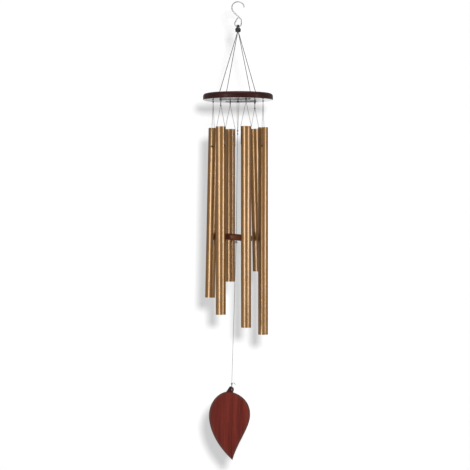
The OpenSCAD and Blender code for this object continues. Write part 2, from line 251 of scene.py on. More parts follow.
# Places of the colour sockets on a mix node, where sockets of each kind share their names
MIX_FIRST = 6
MIX_SECOND = 7
MIX_RESULT = 2


def mixed(tree, factor, first, second):
    """A colour between two, by a factor."""
    sets = {0: factor, MIX_FIRST: first, MIX_SECOND: second}
    return add(tree, "ShaderNodeMix", sets, data_type="RGBA").outputs[MIX_RESULT]


def ranged(tree, value, given, wanted=(0.0, 1.0)):
    """A value mapped smoothly from a given range to the one that is wanted."""
    sets = {
        "Value": value,
        "From Min": given[0],
        "From Max": given[1],
        "To Min": wanted[0],
        "To Max": wanted[1],
    }
    return add(tree, "ShaderNodeMapRange", sets, interpolation_type="SMOOTHSTEP").outputs["Result"]


def noise(tree, vector, scale=1.0, detail=2.0, rough=0.5):
    sets = {"Vector": vector, "Scale": scale, "Detail": detail, "Roughness": rough}
    return add(tree, "ShaderNodeTexNoise", sets).outputs["Fac"]


def opaque(colour):
    return (*colour, 1)


def group_sockets(tree, inputs, outputs):
    """Makes a group's named sockets and returns its inner input and output nodes."""
    for name, (kind, value) in inputs.items():
        made = tree.interface.new_socket(name=name, in_out="INPUT", socket_type=kind)
        if value is not None:
            made.default_value = value
    for name, kind in outputs.items():
        tree.interface.new_socket(name=name, in_out="OUTPUT", socket_type=kind)
    return tree.nodes.new("NodeGroupInput"), tree.nodes.new("NodeGroupOutput")


# Laid cord: strands that wind round a path at a steady lay
def kept_value(tree, geometry, name, value):
    """Geometry with a value stored at its points under a name."""
    sets = {"Geometry": geometry, "Name": name, "Value": value}
    made = add(tree, "GeometryNodeStoreNamedAttribute", sets, data_type="FLOAT", domain="POINT")
    return made.outputs["Geometry"]


def wound_strands(tree, given):
    """The path copied once for each strand, and each copy wound round the path."""
    curve = add(tree, "GeometryNodeMeshToCurve", {"Mesh": given["Path"]}).outputs["Curve"]
    spacing = {"Curve": curve, "Length": given["Point spacing"]}
    even = add(tree, "GeometryNodeResampleCurve", spacing, mode="LENGTH").outputs["Curve"]
    amount = {"Geometry": even, "Amount": given["Strands"]}
    copies = add(tree, "GeometryNodeDuplicateElements", amount, domain="SPLINE").outputs
    along = add(tree, "GeometryNodeSplineParameter").outputs["Length"]
    share = maths(tree, "DIVIDE", copies["Duplicate Index"], given["Strands"])
    turns = maths(tree, "ADD", maths(tree, "DIVIDE", along, given["Lay length"]), share)
    angle = maths(tree, "MULTIPLY", turns, FULL_TURN)
    normal = add(tree, "GeometryNodeInputNormal").outputs["Normal"]
    tangent = add(tree, "GeometryNodeInputTangent").outputs["Tangent"]
    across = vector_maths(tree, "CROSS_PRODUCT", tangent, normal)
    on_normal = scaled(tree, normal, maths(tree, "COSINE", angle))
    on_across = scaled(tree, across, maths(tree, "SINE", angle))
    out = vector_maths(tree, "ADD", on_normal, on_across)
    kept = kept_value(tree, copies["Geometry"], "along", along)
    offset = scaled(tree, out, given["Strand orbit"])
    moved = add(tree, "GeometryNodeSetPosition", {"Geometry": kept, "Offset": offset})
    return moved.outputs["Geometry"]


def strand_section(tree, given):
    """The round section of one strand."""
    radius = maths(tree, "DIVIDE", given["Strand diameter"], 2.0)
    sets = {"Resolution": given["Sides"], "Radius": radius}
    circle = add(tree, "GeometryNodeCurvePrimitiveCircle", sets).outputs["Curve"]
    around = add(tree, "GeometryNodeSplineParameter").outputs["Factor"]
    return kept_value(tree, circle, "around", around)


def laid_cord_tree():
    tree = bpy.data.node_groups.new("laid_cord", "GeometryNodeTree")
    source, sink = group_sockets(
        tree,
        {
            "Path": ("NodeSocketGeometry", None),
            "Strands": ("NodeSocketInt", CORD_STRANDS),
            "Strand diameter": ("NodeSocketFloat", MM),
            "Strand orbit": ("NodeSocketFloat", MM),
            "Lay length": ("NodeSocketFloat", MM),
            "Point spacing": ("NodeSocketFloat", MM),
            "Sides": ("NodeSocketInt", CORD_SIDES),
            "Material": ("NodeSocketMaterial", None),
        },
        {"Cord": "NodeSocketGeometry"},
    )
    given = source.outputs
    sets = {
        "Curve": wound_strands(tree, given),
        "Profile Curve": strand_section(tree, given),
        "Fill Caps": True,
    }
    tube = add(tree, "GeometryNodeCurveToMesh", sets).outputs["Mesh"]
    smooth = add(tree, "GeometryNodeSetShadeSmooth", {"Geometry": tube}).outputs["Geometry"]
    real = add(tree, "GeometryNodeRealizeInstances", {"Geometry": smooth}).outputs["Geometry"]
    painted = add(tree, "GeometryNodeSetMaterial", {"Geometry": real, "Material": given["Material"]})
    tree.links.new(painted.outputs["Geometry"], sink.inputs["Cord"])
    return tree


LAID_CORD = laid_cord_tree()


def socket_of(tree, label):
    """The identifier of a tree's input, which a modifier is set by."""
    inputs = (s for s in tree.interface.items_tree if s.in_out == "INPUT")
    return next(s.identifier for s in inputs if s.name == label)


def strand_share(strands):
    """The thickness of one strand against the cord that several make."""
    lean = math.sin(math.pi / strands)
    return lean / (1 + lean)


def path_length(points):
    return sum((b - a).length for a, b in zip(points, points[1:]))


def path_mesh(name, runs, closed):
    """A mesh of bare edges along each run of points."""
    points = []
    edges = []
    for run in runs:
        first = len(points)
        points += run
        edges += [(i, i + 1) for i in range(first, len(points) - 1)]
        if closed:
            edges.append((len(points) - 1, first))
    made = bpy.data.meshes.new(name + "_path")
    made.from_pydata(points, edges, [])
    return made


def whole_lay(lay_length, run):
    """The lay nearest to the one given that fits round a closed run."""
    around = path_length([*run, run[0]])
    return around / max(1, round(around / lay_length))


def plain_mesh(piece):
    """The mesh that a piece's modifiers make. They are then taken off."""
    evaluated = piece.evaluated_get(bpy.context.evaluated_depsgraph_get())
    made = bpy.data.meshes.new_from_object(evaluated)
    piece.modifiers.clear()
    return made


def laid_cord(name, runs, diameter, strands, material, lay=CORD_LAY, closed=False):
    """A piece of laid cord along each run of points. The lay is in cord thicknesses."""
    path = path_mesh(name, runs, closed)
    piece = bpy.data.objects.new(name, path)
    scene.collection.objects.link(piece)
    lay_length = lay * diameter
    if closed:
        lay_length = whole_lay(lay_length, runs[0])
    strand = diameter * strand_share(strands)
    settings = {
        "Strands": strands,
        "Strand diameter": strand * STRAND_SWELL,
        "Strand orbit": (diameter - strand) / 2,
        "Lay length": lay_length,
        "Point spacing": lay_length / POINTS_PER_LAY,
        "Sides": CORD_SIDES,
        "Material": material,
    }
    modifier = piece.modifiers.new("laid_cord", "NODES")
    modifier.node_group = LAID_CORD
    for label, value in settings.items():
        modifier[socket_of(LAID_CORD, label)] = value
    piece.data = plain_mesh(piece)
    piece.data.name = name
    bpy.data.meshes.remove(path)
    return piece


def place(piece, body, slot, *nodes):
    """Rides a piece on its body and hides the solids that it stands for. Its slot is not used."""
    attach(piece, body)
    if nodes:
        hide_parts(*nodes)
    return piece


# Routes
def rounded(points, radius):
    """The points of a path, each corner replaced by a short curve that starts a radius before it."""
    made = [points[0]]
    for before, corner, after in zip(points, points[1:], points[2:]):
        back = (before - corner).normalized() * radius
        on = (after - corner).normalized() * radius
        for step in range(CORNER_STEPS + 1):
            t = step / CORNER_STEPS
            made.append(corner + back * (1 - t) ** 2 + on * t * t)
    return [*made, points[-1]]


def knot_route(centre, width, height, cord, turn=0.0):
    """An overhand knot drawn tight: a trefoil that faces the front, turned about the vertical."""
    reach = 1 + KNOT_SWELL
    across = (width - cord) / 2 / reach
    upright = (height - cord) / 2 / reach
    spin = Matrix.Rotation(turn, 3, "Z")
    made = []
    for step in range(KNOT_POINTS):
        t = FULL_TURN * step / KNOT_POINTS
        ring = 1 + KNOT_SWELL * math.cos(KNOT_LOBES * t)
        deep = KNOT_SWELL * math.sin(KNOT_LOBES * t)
        local = Vector((across * ring * math.sin(2 * t), across * deep, upright * ring * math.cos(2 * t)))
        made.append(centre + spin @ local)
    return made


def woven_route(centre, width, height, cord, weave):
    """A round knot whose leads pass over and under each other, about an upright axis."""
    middle = (width - cord) / 2 - weave
    rise = (height - cord) / 2
    steps = 2 * KNOT_POINTS
    made = []
    for step in range(steps):
        t = FULL_TURN * step / steps
        sway = CROWN_BIGHTS * t
        high = math.sin(sway)
        out = middle * math.sqrt(1 - GATHER_BELLY * high * high) + weave * math.sin(2 * sway)
        around = CROWN_LEADS * t
        made.append(centre + Vector((out * math.cos(around), out * math.sin(around), rise * high)))
    return made


def knot_piece(name, centre, size, cord, material, turn=0.0):
    route = knot_route(centre, size, size, cord, turn)
    return laid_cord(name, [route], cord, LINE_STRANDS, material, closed=True)


# Shader groups: the ranges that noise is read over, then the weights of grain and fibres
MID_TONES = (0.3, 0.7)
WIDE_TONES = (0.2, 0.8)
GRAIN_TONES = (0.32, 0.68)
PORE_EDGE = (0.63, 0.72)
RUB_EDGE = (0.66, 0.76)
GRAIN_SWAY = 0.012
FIGURE_SHARE = 0.65
FIBRE_SHARE = 0.35
FIBRE_RISE = 0.3
PORE_DULLS = 0.5
FIBRE_STEPS = 220.0


def shader_group(name, inputs, outputs):
    tree = bpy.data.node_groups.new(name, "ShaderNodeTree")
    return tree, *group_sockets(tree, inputs, outputs)


def stained_grain_group():
    """Stained wood whose grain runs along Z: broad figure, fine fibres and short open pores."""
    tree, source, sink = shader_group(
        "stained_grain",
        {
            "Vector": ("NodeSocketVector", None),
            "Deep": ("NodeSocketColor", (0.02, 0.01, 0.01, 1)),
            "Warm": ("NodeSocketColor", (0.1, 0.03, 0.02, 1)),
            "Pore": ("NodeSocketColor", (0.01, 0.005, 0.005, 1)),
            "Figure scale": ("NodeSocketFloat", 60.0),
            "Fibre scale": ("NodeSocketFloat", 700.0),
            "Pore depth": ("NodeSocketFloat", 0.5),
        },
        {"Color": "NodeSocketColor", "Height": "NodeSocketFloat", "Sheen": "NodeSocketFloat"},
    )
    given = source.outputs
    bend = noise(tree, stretched(tree, given["Vector"], across=14, along=5), detail=1.0)
    sway = maths(tree, "MULTIPLY", bend, GRAIN_SWAY)
    shift = add(tree, "ShaderNodeCombineXYZ", {"X": sway}).outputs[0]
    swayed = vector_maths(tree, "ADD", given["Vector"], shift)
    figure_at = scaled(tree, stretched(tree, swayed, across=1, along=0.06), given["Figure scale"])
    figure = noise(tree, figure_at, detail=3.0, rough=0.6)
    fibre_at = scaled(tree, stretched(tree, swayed, across=1, along=0.02), given["Fibre scale"])
    fibre = noise(tree, fibre_at, detail=2.0)
    pores_at = scaled(tree, stretched(tree, swayed, across=2.2, along=0.11), given["Fibre scale"])
    pores = noise(tree, pores_at, detail=1.0)
    cover = maths(tree, "MULTIPLY", ranged(tree, pores, PORE_EDGE), given["Pore depth"])
    broad = maths(tree, "MULTIPLY", figure, FIGURE_SHARE)
    fine = maths(tree, "MULTIPLY", fibre, FIBRE_SHARE)
    tone = ranged(tree, maths(tree, "ADD", broad, fine), GRAIN_TONES)
    ground = mixed(tree, tone, given["Deep"], given["Warm"])
    rise = maths(tree, "SUBTRACT", maths(tree, "MULTIPLY", fibre, FIBRE_RISE), cover)
    sheen = maths(tree, "SUBTRACT", figure, maths(tree, "MULTIPLY", cover, PORE_DULLS))
    tree.links.new(mixed(tree, cover, ground, given["Pore"]), sink.inputs["Color"])
    tree.links.new(rise, sink.inputs["Height"])
    tree.links.new(sheen, sink.inputs["Sheen"])
    return tree


def drawn_metal_group():
    """Metal drawn along Z: fine die lines, soft blotches in the finish and a few rubs."""
    tree, source, sink = shader_group(
        "drawn_metal",
        {
            "Vector": ("NodeSocketVector", None),
            "Line scale": ("NodeSocketFloat", 2500.0),
            "Line stretch": ("NodeSocketFloat", 0.0008),
            "Blotch scale": ("NodeSocketFloat", 40.0),
        },
        {"Lines": "NodeSocketFloat", "Blotch": "NodeSocketFloat", "Rub": "NodeSocketFloat"},
    )
    given = source.outputs
    flat = split(tree, given["Vector"])
    along = maths(tree, "MULTIPLY", flat["Z"], given["Line stretch"])
    drawn = add(tree, "ShaderNodeCombineXYZ", {"X": flat["X"], "Y": flat["Y"], "Z": along}).outputs[0]
    lines = noise(tree, scaled(tree, drawn, given["Line scale"]), detail=2.0, rough=0.6)
    blotch = noise(tree, scaled(tree, given["Vector"], given["Blotch scale"]), detail=3.0, rough=0.6)
    scuffs = noise(tree, stretched(tree, given["Vector"], across=420, along=60), detail=2.0)
    tree.links.new(lines, sink.inputs["Lines"])
    tree.links.new(blotch, sink.inputs["Blotch"])
    tree.links.new(ranged(tree, scuffs, RUB_EDGE), sink.inputs["Rub"])
    return tree


def spun_fibre_group():
    """Spun yarn: fibres that slant round each strand, in two shades."""
    tree, source, sink = shader_group(
        "spun_fibre",
        {
            "Dark": ("NodeSocketColor", (0.01, 0.01, 0.01, 1)),
            "Light": ("NodeSocketColor", (0.05, 0.05, 0.05, 1)),
            "Fibres": ("NodeSocketFloat", 5.0),
            "Slant": ("NodeSocketFloat", 900.0),
        },
        {"Color": "NodeSocketColor", "Height": "NodeSocketFloat"},
    )
    given = source.outputs
    along = attribute(tree, "along")
    around = maths(tree, "MULTIPLY", attribute(tree, "around"), given["Fibres"])
    lane = maths(tree, "ADD", around, maths(tree, "MULTIPLY", along, given["Slant"]))
    step = maths(tree, "MULTIPLY", along, FIBRE_STEPS)
    spot = add(tree, "ShaderNodeCombineXYZ", {"X": lane, "Y": step}).outputs[0]
    fibre = noise(tree, spot, detail=2.0, rough=0.65)
    shade = mixed(tree, ranged(tree, fibre, MID_TONES), given["Dark"], given["Light"])
    tree.links.new(shade, sink.inputs["Color"])
    tree.links.new(fibre, sink.inputs["Height"])
    return tree


STAINED_GRAIN = stained_grain_group()
DRAWN_METAL = drawn_metal_group()
SPUN_FIBRE = spun_fibre_group()


# Materials
def new_material(name):
    made = bpy.data.materials.new(name)
    made.use_nodes = True
    tree = made.node_tree
    tree.nodes.clear()
    shader = tree.nodes.new("ShaderNodeBsdfPrincipled")
    output = tree.nodes.new("ShaderNodeOutputMaterial")
    tree.links.new(shader.outputs[0], output.inputs["Surface"])
    return made, tree, shader


def set_shader(shader, **constants):
    for name, value in constants.items():
        shader.inputs[name.replace("_", " ")].default_value = value


def object_place(tree, turn=(0, 0, 0), centre=(0, 0, 0)):
    """Object coordinates, moved so that centre is the origin and then turned."""
    spot = add(tree, "ShaderNodeTexCoord").outputs["Object"]
    moved = add(tree, "ShaderNodeMapping", {"Vector": spot, "Location": [-c for c in centre]})
    return add(tree, "ShaderNodeMapping", {"Vector": moved.outputs[0], "Rotation": turn}).outputs[0]


def grouped(tree, group, sets):
    return add(tree, "ShaderNodeGroup", sets, node_tree=group).outputs


def bumped(tree, shader, height, distance, strength):
    bump = add(tree, "ShaderNodeBump", {"Height": height, "Distance": distance, "Strength": strength})
    tree.links.new(bump.outputs[0], shader.inputs["Normal"])


# Stained wood: roughness by its grain's sheen, how that and the varnish change close to the underside,
# and the colours
WOOD_SATIN = (0.55, 0.4)
UNDERSIDE_FADE = (0.1 * MM, 0.8 * MM)
UNDERSIDE_RUBBED = (0.35, 1)
UNDERSIDE_VARNISH = (0.9, 0.06)
DISC_COLOURS = {
    "Deep": (0.0155, 0.0028, 0.0021),
    "Warm": (0.045, 0.0068, 0.0048),
    "Pore": (0.007, 0.0018, 0.0013),
}
STRIKER_COLOURS = {
    "Deep": (0.07, 0.0165, 0.0048),
    "Warm": (0.155, 0.041, 0.0145),
    "Pore": (0.012, 0.003, 0.002),
}
LEAF_COLOURS = {
    "Deep": (0.097, 0.0098, 0.0065),
    "Warm": (0.192, 0.0255, 0.015),
    "Pore": (0.05, 0.009, 0.007),
}


def wood_grain(tree, vector, colours, figure_scale):
    sets = {name: opaque(colour) for name, colour in colours.items()}
    sets["Vector"] = vector
    sets["Figure scale"] = figure_scale
    return grouped(tree, STAINED_GRAIN, sets)


def stained_wood(name, turn, centre, colours, figure_scale, underside):
    """Stained wood with satin sides and a varnished underside."""
    made, tree, shader = new_material(name)
    grain = wood_grain(tree, object_place(tree, turn, centre), colours, figure_scale)
    tree.links.new(grain["Color"], shader.inputs["Base Color"])
    bumped(tree, shader, grain["Height"], distance=0.15 * MM, strength=0.35)
    height = split(tree, object_place(tree))["Z"]
    fade = [underside + step for step in UNDERSIDE_FADE]
    satin = ranged(tree, grain["Sheen"], WIDE_TONES, WOOD_SATIN)
    rubbed = ranged(tree, height, fade, UNDERSIDE_RUBBED)
    tree.links.new(maths(tree, "MULTIPLY", satin, rubbed), shader.inputs["Roughness"])
    tree.links.new(ranged(tree, height, fade, UNDERSIDE_VARNISH), shader.inputs["Coat Weight"])
    set_shader(shader, Coat_Roughness=0.1, Coat_IOR=1.5, IOR=1.3, Specular_Tint=(1, 0.8, 0.78, 1))
    return made


# The leaf: darker brown by its edge value, the dark stem by its height over the hole
LEAF_SATIN = (0.62, 0.48)
EDGE_DARK_FROM = (0.05, 0.8)
EDGE_DARK_TO = (0, 0.85)
EDGE_DARK_COLOUR = (0.1, 0.043, 0.032)
STEM_FROM = (-6.5 * MM, -4.0 * MM)
STEM_TO = (0, 0.9)
STEM_COLOUR = (0.03, 0.011, 0.008)


def leaf_finish():
    """Red-stained wood with upright grain, browner on and beside its rounded edge, and dark on its stem.
    """
    made, tree, shader = new_material("red_stained_leaf")
    spot = object_place(tree, centre=sail_at)
    grain = wood_grain(tree, spot, LEAF_COLOURS, figure_scale=90.0)
    # The edge value mixes in a darker, greyer brown on the rounded edge and a band beside it
    edge_dark = ranged(tree, attribute(tree, "edge"), EDGE_DARK_FROM, EDGE_DARK_TO)
    edged = mixed(tree, edge_dark, grain["Color"], opaque(EDGE_DARK_COLOUR))
    on_stem = ranged(tree, split(tree, spot)["Z"], STEM_FROM, STEM_TO)
    tree.links.new(mixed(tree, on_stem, edged, opaque(STEM_COLOUR)), shader.inputs["Base Color"])
    tree.links.new(ranged(tree, grain["Sheen"], WIDE_TONES, LEAF_SATIN), shader.inputs["Roughness"])
    bumped(tree, shader, grain["Height"], distance=0.15 * MM, strength=0.3)
    set_shader(shader, IOR=1.25)
    return made


# Metals: tones by the blotches in their finish, roughness by their die lines and rubs
BRONZE_DEEP = (0.31, 0.152, 0.033)
BRONZE_WARM = (0.35, 0.176, 0.043)
BRONZE_LINED = (0.24, 0.11, 0.023)
LINES_FROM = (0.35, 0.7)
LINES_TO = (0, 0.35)
BRONZE_SATIN = (0.36, 0.46)
RUB_GREYS = 0.1
WIRE_DEEP = (0.5, 0.495, 0.49)
WIRE_PALE = (0.61, 0.605, 0.6)
WIRE_SATIN = (0.3, 0.44)


def bronze_finish():
    made, tree, shader = new_material("bronze_anodised")
    metal = grouped(tree, DRAWN_METAL, {"Vector": object_place(tree)})
    blotch = ranged(tree, metal["Blotch"], MID_TONES)
    tone = mixed(tree, blotch, opaque(BRONZE_DEEP), opaque(BRONZE_WARM))
    in_line = ranged(tree, metal["Lines"], LINES_FROM, LINES_TO)
    tree.links.new(mixed(tree, in_line, tone, opaque(BRONZE_LINED)), shader.inputs["Base Color"])
    satin = ranged(tree, metal["Lines"], MID_TONES, BRONZE_SATIN)
    rubbed = ranged(tree, metal["Rub"], (0, 1), (0, RUB_GREYS))
    tree.links.new(maths(tree, "ADD", satin, rubbed), shader.inputs["Roughness"])
    bumped(tree, shader, metal["Lines"], distance=0.01 * MM, strength=0.15)
    set_shader(
        shader, Metallic=1.0, Specular_Tint=(0.4, 0.24, 0.12, 1),
        Coat_Weight=0.75, Coat_Roughness=0.06, Coat_IOR=1.8,
    )
    return made


def bright_wire_finish():
    made, tree, shader = new_material("bright_wire")
    sets = {"Line scale": 1800.0, "Line stretch": 0.5, "Blotch scale": 260.0}
    metal = grouped(tree, DRAWN_METAL, {"Vector": object_place(tree), **sets})
    blotch = ranged(tree, metal["Blotch"], MID_TONES)
    tone = mixed(tree, blotch, opaque(WIRE_DEEP), opaque(WIRE_PALE))
    tree.links.new(tone, shader.inputs["Base Color"])
    tree.links.new(ranged(tree, metal["Lines"], MID_TONES, WIRE_SATIN), shader.inputs["Roughness"])
    bumped(tree, shader, metal["Lines"], distance=0.02 * MM, strength=0.2)
    set_shader(shader, Metallic=1.0)
    return made


# Yarn: how much rougher it is where its fibres rise
YARN_SPREAD = 0.15


def yarn(name, dark, light, roughness):
    made, tree, shader = new_material(name)
    spun = grouped(tree, SPUN_FIBRE, {"Dark": opaque(dark), "Light": opaque(light)})
    tree.links.new(spun["Color"], shader.inputs["Base Color"])
    rough = ranged(tree, spun["Height"], WIDE_TONES, (roughness, roughness + YARN_SPREAD))
    tree.links.new(rough, shader.inputs["Roughness"])
    bumped(tree, shader, spun["Height"], distance=0.06 * MM, strength=0.5)
    set_shader(shader, Sheen_Weight=0.25, Sheen_Roughness=0.5)
    return made


black_yarn = yarn("black_yarn", dark=(0.006, 0.006, 0.007), light=(0.04, 0.04, 0.041), roughness=0.34)
grey_yarn = yarn("grey_yarn", dark=(0.02, 0.02, 0.021), light=(0.09, 0.09, 0.093), roughness=0.5)
pale_yarn = yarn("pale_yarn", dark=(0.13, 0.13, 0.128), light=(0.3, 0.3, 0.295), roughness=0.45)
light_yarn = yarn("light_yarn", dark=(0.42, 0.42, 0.41), light=(0.68, 0.68, 0.67), roughness=0.45)
bronze = bronze_finish()
bright_wire = bright_wire_finish()
disc_wood = stained_wood(
    "mahogany_disc", turn=(0, math.pi / 2, 0.2), centre=(0.01, 0.02, disc_low),
    colours=DISC_COLOURS, figure_scale=70.0, underside=disc_low,
)
striker_wood = stained_wood(
    "mahogany_striker", turn=(0, math.pi / 2, 0.9), centre=tuple(striker_at),
    colours=STRIKER_COLOURS, figure_scale=90.0, underside=striker_low,
)
leaf_wood = leaf_finish()


# Pieces of the crown
def hook_loop():
    radius = HOOK_WIRE / 2 + PLAY + LOOP_CORD / 2
    foot = -(radius + LOOP_LEG) - CROWN_KNOT_H * BIGHT_IN_KNOT
    bight = [(radius, foot)]
    for step in range(BIGHT_STEPS + 1):
        angle = math.pi * step / BIGHT_STEPS
        bight.append((radius * math.cos(angle), radius * math.sin(angle)))
    bight.append((-radius, foot))
    runs = [[eye_floor_at + Vector((x, y, z)) for y, z in bight] for x in BIGHTS_AT]
    piece = laid_cord("hook_loop_cord", runs, LOOP_CORD, CORD_STRANDS, black_yarn)
    place(piece, "hook_loop", "black_cord", "hook_loop")


def crown_knot():
    centre = crown_knot_at + UP * GATHER_UP
    route = woven_route(centre, GATHER_W, GATHER_H, CROWN_BUNDLE, CROWN_WEAVE)
    piece = laid_cord(
        "gathering_knot", [route], CROWN_BUNDLE, GATHER_STRANDS, black_yarn, lay=GATHER_LAY, closed=True,
    )
    place(piece, "crown_knot", "black_cord", "crown_knot")


def suspension_leg(angle):
    """The way of a cord from the knot down to its hole in the disc and through it."""
    way = Vector((math.cos(angle), math.sin(angle), 0))
    knot_foot = crown_knot_at.z - CROWN_KNOT_H / 2 - PLAY - CROWN_CORD / 4
    return [
        crown_knot_at,
        way * CROWN_CORD * GATHER_STEP + UP * knot_foot,
        way * CROWN_RING + UP * (disc_top + HOLE_LEAD),
        way * CROWN_RING + UP * (disc_low - PLAY - CROWN_CORD / 2),
    ]


def suspension_cord(name, node, first):
    """One cord from the knot down through the disc, along its underside and up again."""
    down = suspension_leg(first)
    up = suspension_leg(first + math.pi / 2)
    route = rounded([*down, *reversed(up)], CROWN_CORD)
    piece = laid_cord(name, [route], CROWN_CORD, CORD_STRANDS, black_yarn)
    place(piece, "crown", "grey_cord", node)


def stop_knots(name, node, spots):
    """Knots in the wells of the disc's top face."""
    height = disc_top - KNOT_WELL + KNOT_PLAY + STOP_KNOT / 2
    runs = []
    for number, spot in enumerate(spots):
        seat = Vector((spot.x, spot.y, height))
        runs.append(knot_route(seat, STOP_KNOT, STOP_KNOT, CROWN_CORD, turn=number))
    piece = laid_cord(name, runs, CROWN_CORD, CORD_STRANDS, black_yarn, closed=True)
    place(piece, "crown", "black_cord", node)


# Pieces of the tubes
def swivel_knot(k):
    name = f"swivel_knot_{k}"
    knot_at = joint_at[f"tube_{k}_swing"]
    piece = knot_piece(f"swivel_knot_of_tube_{k}", knot_at, HANGER_KNOT, HANGER_TIE, black_yarn, turn=k)
    place(piece, name, "black_cord", name)


def split_drop(k):
    """How far below the middle of its knot a hanger cord parts."""
    return HANGER_KNOT / 2 + KNOT_PLAY + (SPLIT_LONG if k in LONG_SPLITS else SPLIT_SHORT)


def hanger_route(k):
    """Two strands that part below the knot, run down outside the tube and cross it through its holes."""
    knot = joint_at[f"tube_{k}_swing"]
    hole = joint_at[f"tube_{k}_tip"]
    side = UP.cross(Vector((knot.x, knot.y, 0)).normalized())
    beside = HANGER_CORD * STRAND_STEP
    out = TUBE_OD / 2 + PLAY + HANGER_CORD / 2
    top = HANGER_IN_KNOT - HANGER_KNOT / 2 - KNOT_PLAY
    rim = disc_low - TUBE_DROP + HANGER_CORD - knot.z
    seat = hole.z + CROSS_HOLE / 2 - HANGER_CORD / 2 - KNOT_PLAY - knot.z
    half = [(beside, top), (beside, -split_drop(k)), (out, rim), (out, seat)]
    down = [knot + side * s + UP * z for s, z in half]
    up = [knot - side * s + UP * z for s, z in reversed(half)]
    return rounded([*down, *up], HANGER_CORD)


def split_knot(k):
    """The small knot where the strands of a hanger cord part."""
    spot = joint_at[f"tube_{k}_swing"] - UP * split_drop(k)
    piece = knot_piece(f"split_knot_of_tube_{k}", spot, SPLIT_KNOT, SPLIT_TIE, black_yarn, turn=k)
    return place(piece, f"hanger_{k}", "black_cord")


def hanger_cord(k):
    route = hanger_route(k)
    piece = laid_cord(f"hanger_cord_of_tube_{k}", [route], HANGER_CORD, CORD_STRANDS, grey_yarn)
    place(piece, f"hanger_{k}", "grey_cord", f"hanger_cord_{k}")
    knots = [split_knot(k)] if k in LONG_SPLITS else []


# Pieces in the middle
def centre_knot():
    piece = knot_piece("centre_knot", centre_knot_at, CENTRE_KNOT, CENTRE_TIE, black_yarn)
    place(piece, "centre_knot", "black_cord", "centre_knot")


def centre_cord():
    """Two strands from the knot under the disc to the knots that join them."""
    top = centre_knot_at - UP * (CENTRE_KNOT / 2 - CENTRE_IN_KNOT)
    runs = []
    for side in (-1, 1):
        wide = Vector((side * CENTRE_KNOT / 2, 0, 0))
        beside = Vector((side * CENTRE_CORD * STRAND_STEP, 0, 0))
        runs.append([top + wide * CENTRE_SPREAD, join_at + beside, second_join_at + beside])
    piece = laid_cord("centre_cord", runs, CENTRE_CORD, LINE_STRANDS, black_yarn)
    place(piece, "striker_line", "black_cord", "centre_cord")


def joining_knot(name, spot, size):
    piece = knot_piece(name, spot, size, JOIN_TIE, black_yarn)
    place(piece, "striker_line", "black_cord")


def line_cord(name, route):
    piece = laid_cord(name + "_cord", [route], LINE, LINE_STRANDS, pale_yarn)
    place(piece, name, "line", name)


def striker_knot():
    piece = knot_piece("striker_seat_knot", striker_knot_at, STRIKER_KNOT, STRIKER_TIE, light_yarn)
    place(piece, "striker_knot", "line", "striker_knot")


def sail_loop():
    """The line's loop, twice through the hole in the leaf's stem, with the tail of its knot."""
    stem_top = max(math.hypot(*p) for p in STEM)
    deep = LEAF_T / 2 + PLAY + LINE / 2
    seat = STEM_HOLE / 2 - LINE / 2 - KNOT_PLAY
    top = sail_knot_at.z - sail_at.z
    beside = LINE * STRAND_STEP
    runs = []
    for across, drop in ((beside, 0), (-beside, LINE)):
        half = [(beside, top), (deep, stem_top + PLAY), (deep, seat - drop)]
        down = [sail_at + Vector((across, y, z)) for y, z in half]
        up = [sail_at + Vector((across, -y, z)) for y, z in reversed(half)]
        runs.append(rounded([*down, *up], LINE))
    runs.append(rounded([sail_knot_at + Vector(p) * MM for p in SAIL_TAIL], TAIL_BEND))
    piece = laid_cord("sail_loop_cord", runs, LINE, LINE_STRANDS, grey_yarn)
    place(piece, "sail_loop", "line", "sail_loop")


def sail_knot():
    piece = knot_piece("sail_knot", sail_knot_at, SAIL_KNOT, SAIL_TIE, pale_yarn)
    place(piece, "sail_loop", "line")


# The leaf
def bezier(curve, t):
    points = [Vector(p) for p in curve]
    weights = ((1 - t) ** 3, 3 * t * (1 - t) ** 2, 3 * t * t * (1 - t), t ** 3)
    return sum((p * w for p, w in zip(points, weights)), Vector((0, 0)))


def on_leaf(share):
    return Vector((share.x * LEAF_W / 2 - LEAF_SHIFT, share.y * LEAF_L))


def leaf_outline():
    made = []
    for curve in LEAF_CURVES:
        made += [on_leaf(bezier(curve, step / LEAF_STEPS)) for step in range(LEAF_STEPS)]
    right_foot = on_leaf(Vector(LEAF_CURVES[-1][-1]))
    stem = rounded([right_foot, *[Vector(p) for p in STEM], made[0]], STEM_ROUND)
    return made + stem[:-1]


def rim_shares(points):
    """The share of the edge rounding that each point takes: less at the tip and round the stem."""
    tip = points[TIP_INDEX]
    feet = (points[0], points[STEM_INDEX])
    made = []
    for i, point in enumerate(points):
        from_tip = TIP_SHARE + (1 - TIP_SHARE) * (point - tip).length / TIP_REACH
        near_foot = 0 if i >= STEM_INDEX else min((point - foot).length for foot in feet)
        from_stem = STEM_SHARE + (1 - STEM_SHARE) * near_foot / STEM_REACH
        made.append(min(1, from_tip, from_stem))
    return made


def inset(points, distances):
    """A closed outline moved inwards by a distance at each point, with mitred corners."""
    made = []
    for i, (point, distance) in enumerate(zip(points, distances)):
        u = (point - points[i - 1]).normalized()
        v = (points[(i + 1) % len(points)] - point).normalized()
        across = Vector((-u.y, u.x))
        middle = (across + Vector((-v.y, v.x))).normalized()
        made.append(point + middle * distance / middle.dot(across))
    return made


def edge_levels():
    """The rings from the front face to the back: distance from the outline, depth and edge darkening."""
    front = -LEAF_T / 2
    made = [(LEAF_ROUND + EDGE_FADE, front, 0)]
    for step in range(EDGE_STEPS + 1):
        angle = math.pi / 2 * step / EDGE_STEPS
        distance = LEAF_ROUND * (1 - math.sin(angle))
        depth = front + LEAF_ROUND * (1 - math.cos(angle))
        made.append((distance, depth, RIM_START + (1 - RIM_START) * math.sin(angle)))
    return made + [(distance, -depth, darkness) for distance, depth, darkness in reversed(made)]


